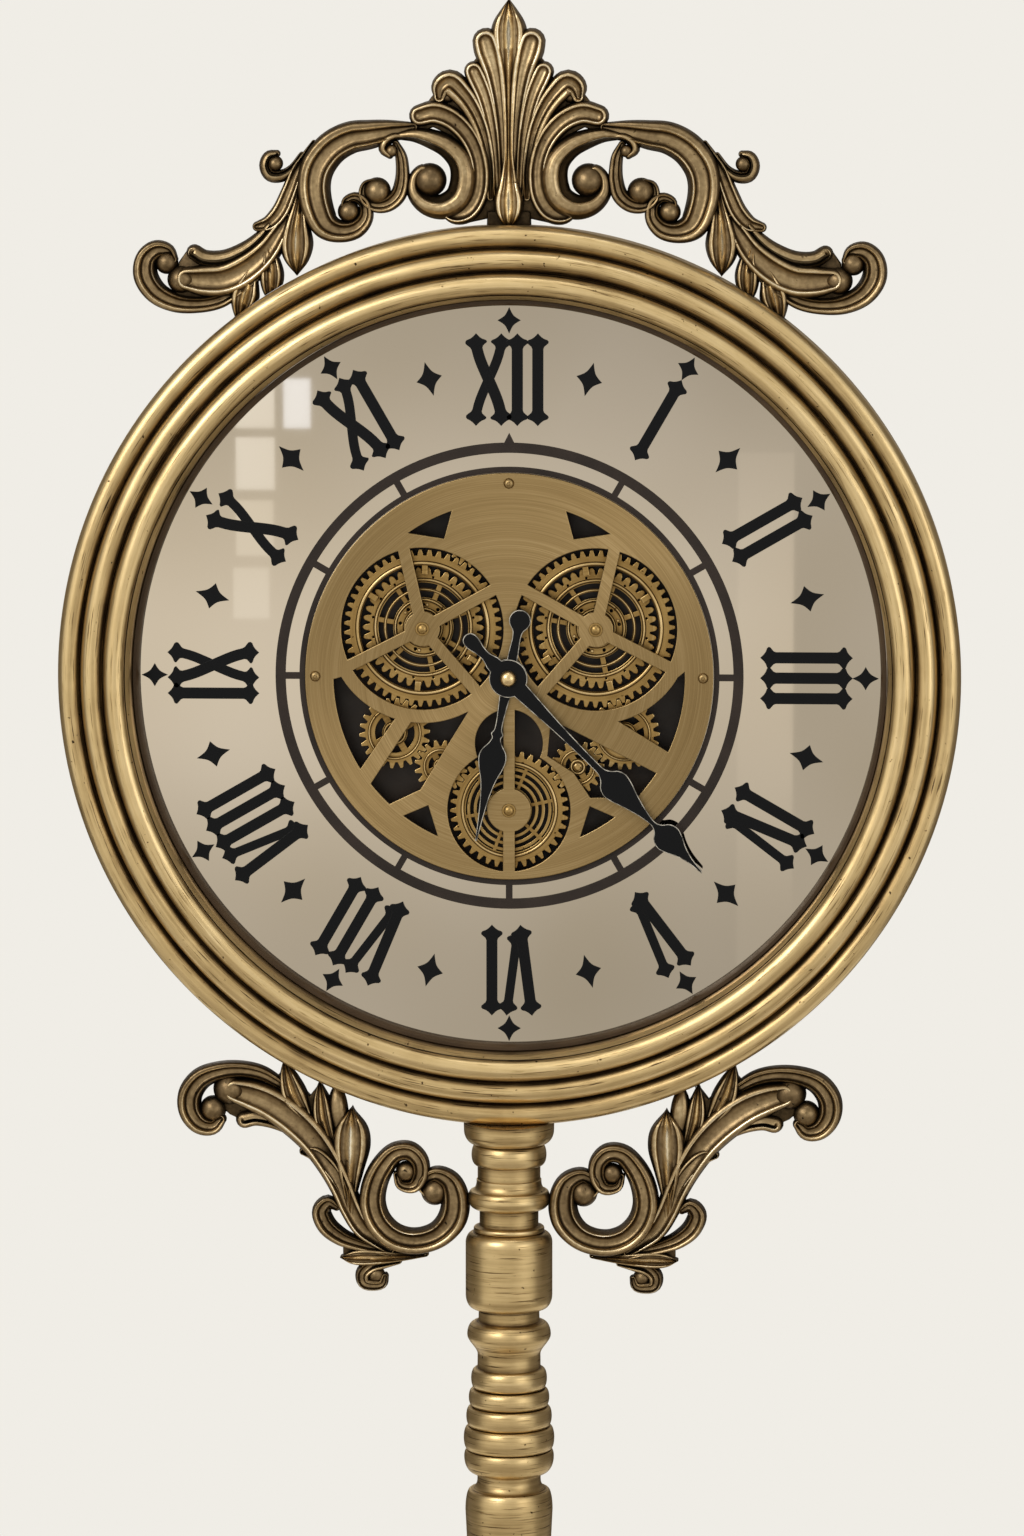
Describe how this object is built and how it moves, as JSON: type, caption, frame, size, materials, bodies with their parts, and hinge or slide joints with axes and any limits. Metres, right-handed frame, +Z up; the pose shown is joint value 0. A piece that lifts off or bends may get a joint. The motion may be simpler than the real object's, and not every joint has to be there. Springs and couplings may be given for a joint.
{
  "type": "floor clock",
  "caption": "Floor clock with a reeded round head, mirror dial, open brass wheel train and two hands, cast scrollwork, a turned post and a weighted round base.",
  "frame": {"origin": "on the floor, under the middle of the base", "axes": "+Z up, the dial faces -Y, +X to the right of a person who looks at the dial"},
  "size_m": [0.6, 0.36, 1.754],
  "materials": {
    "antique_brass": "cast aluminium with an antique brass finish, dark in the grooves",
    "antique_bronze": "cast aluminium with an antique bronze finish, rubbed on the high edges",
    "brushed_brass": "brushed sheet brass",
    "wheel_brass": "cut brass with a worn satin face",
    "bronze_ring": "dark bronze paint, satin",
    "black_enamel": "black enamel, half gloss",
    "tinted_mirror": "bronze tinted silvered glass",
    "black_steel": "dark brown powder coat",
    "zinc_steel": "zinc plated",
    "cast_iron": "rough casting",
    "fibreboard": "raw fibreboard",
    "black_plastic": "moulded, fine matt",
    "cell_case": "printed steel can",
    "rubber": "matt black"
  },
  "bodies": {
    "stand_and_case": {"base_plinth": "antique_brass", "base_weight": "cast_iron", "base_bottom_plate": "black_steel", "base_foot_1": "rubber", "base_foot_2": "rubber", "base_foot_3": "rubber", "base_foot_4": "rubber", "post_lower": "antique_brass", "post_middle": "antique_brass", "post_upper": "antique_brass", "tie_rod": "zinc_steel", "tie_rod_nut_upper": "zinc_steel", "tie_rod_nut_lower": "zinc_steel", "bezel": "antique_brass", "crest_screw": "zinc_steel", "right_bracket_screw": "zinc_steel", "left_bracket_screw": "zinc_steel", "dial_spacer_ring": "bronze_ring", "mirror_dial": "tinted_mirror", "dial_backing_board": "fibreboard", "case_drum": "black_steel", "rear_door": "black_steel", "rear_door_screw_1": "zinc_steel", "rear_door_screw_2": "zinc_steel", "rear_door_screw_3": "zinc_steel", "rear_door_screw_4": "zinc_steel", "chapter_ring": "bronze_ring", "gear_front_plate": "brushed_brass", "gear_dish": "black_steel", "plate_screw_1": "brushed_brass", "plate_screw_2": "brushed_brass", "plate_screw_3": "brushed_brass", "movement_case": "black_plastic", "drive_motor": "zinc_steel", "battery_holder": "black_plastic", "battery_1": "cell_case", "battery_2": "cell_case", "crest": "antique_bronze", "right_bracket": "antique_bronze", "left_bracket": "antique_bronze"},
    "left_train": {"left_great_wheel": "wheel_brass", "left_second_wheel": "wheel_brass", "left_arbor": "wheel_brass"},
    "left_idler_wheel": {"left_idler": "wheel_brass"},
    "left_small_idler_wheel": {"left_small_idler": "wheel_brass"},
    "lower_train": {"lower_wheel": "wheel_brass", "lower_arbor": "wheel_brass"},
    "right_small_idler_wheel": {"right_small_idler": "wheel_brass"},
    "right_idler_wheel": {"right_idler": "wheel_brass"},
    "right_train": {"right_great_wheel": "wheel_brass", "right_second_wheel": "wheel_brass", "right_arbor": "wheel_brass"},
    "motor_pinion": {"drive_pinion": "wheel_brass"},
    "minute_work": {"minute_hand": "black_enamel", "minute_arbor": "wheel_brass", "hand_nut": "wheel_brass"},
    "hour_work": {"hour_hand": "black_enamel", "hour_tube": "wheel_brass"},
    "knob": {"setting_knob": "black_plastic"},
    "hatch": {"battery_hatch": "black_plastic"}
  },
  "joints": [
    {"name": "left_wheel_spin", "type": "hinge", "parent": "stand_and_case", "child": "left_train", "pos_m": [-0.05772, 0, 1.334], "axis": [0, 1, 0], "continuous": true},
    {"name": "left_idler_spin", "type": "hinge", "parent": "stand_and_case", "child": "left_idler_wheel", "pos_m": [-0.07661, 0, 1.26349], "axis": [0, 1, 0], "continuous": true},
    {"name": "left_small_idler_spin", "type": "hinge", "parent": "stand_and_case", "child": "left_small_idler_wheel", "pos_m": [-0.04572, 0, 1.24137], "axis": [0, 1, 0], "continuous": true},
    {"name": "lower_wheel_spin", "type": "hinge", "parent": "stand_and_case", "child": "lower_train", "pos_m": [0, 0, 1.21263], "axis": [0, 1, 0], "continuous": true},
    {"name": "right_small_idler_spin", "type": "hinge", "parent": "stand_and_case", "child": "right_small_idler_wheel", "pos_m": [0.04572, 0, 1.24137], "axis": [0, 1, 0], "continuous": true},
    {"name": "right_idler_spin", "type": "hinge", "parent": "stand_and_case", "child": "right_idler_wheel", "pos_m": [0.07661, 0, 1.26349], "axis": [0, 1, 0], "continuous": true},
    {"name": "right_wheel_spin", "type": "hinge", "parent": "stand_and_case", "child": "right_train", "pos_m": [0.05772, 0, 1.334], "axis": [0, 1, 0], "continuous": true},
    {"name": "motor_spin", "type": "hinge", "parent": "stand_and_case", "child": "motor_pinion", "pos_m": [-0.02622, 0, 1.38856], "axis": [0, 1, 0], "continuous": true},
    {"name": "minute_hand_turn", "type": "hinge", "parent": "stand_and_case", "child": "minute_work", "pos_m": [0, 0, 1.302], "axis": [0, 1, 0], "continuous": true},
    {"name": "hour_hand_turn", "type": "hinge", "parent": "stand_and_case", "child": "hour_work", "pos_m": [0, 0, 1.302], "axis": [0, 1, 0], "continuous": true},
    {"name": "setting_knob_turn", "type": "hinge", "parent": "stand_and_case", "child": "knob", "pos_m": [0, 0, 1.286], "axis": [0, 1, 0], "continuous": true},
    {"name": "battery_hatch_slide", "type": "slide", "parent": "stand_and_case", "child": "hatch", "axis": [1, 0, 0], "range_m": [0, 0.04]}
  ],
  "couplings": [
    {"joint": "left_idler_spin", "follows": "left_wheel_spin", "ratio": -2.3182},
    {"joint": "left_small_idler_spin", "follows": "left_wheel_spin", "ratio": 3.1875},
    {"joint": "lower_wheel_spin", "follows": "left_wheel_spin", "ratio": -1.3421},
    {"joint": "right_small_idler_spin", "follows": "left_wheel_spin", "ratio": 3.1875},
    {"joint": "right_idler_spin", "follows": "left_wheel_spin", "ratio": -2.3182},
    {"joint": "right_wheel_spin", "follows": "left_wheel_spin", "ratio": 1},
    {"joint": "motor_spin", "follows": "left_wheel_spin", "ratio": -4.25},
    {"joint": "hour_hand_turn", "follows": "minute_hand_turn", "ratio": 0.083333},
    {"joint": "setting_knob_turn", "follows": "minute_hand_turn", "ratio": -1}
  ]
}
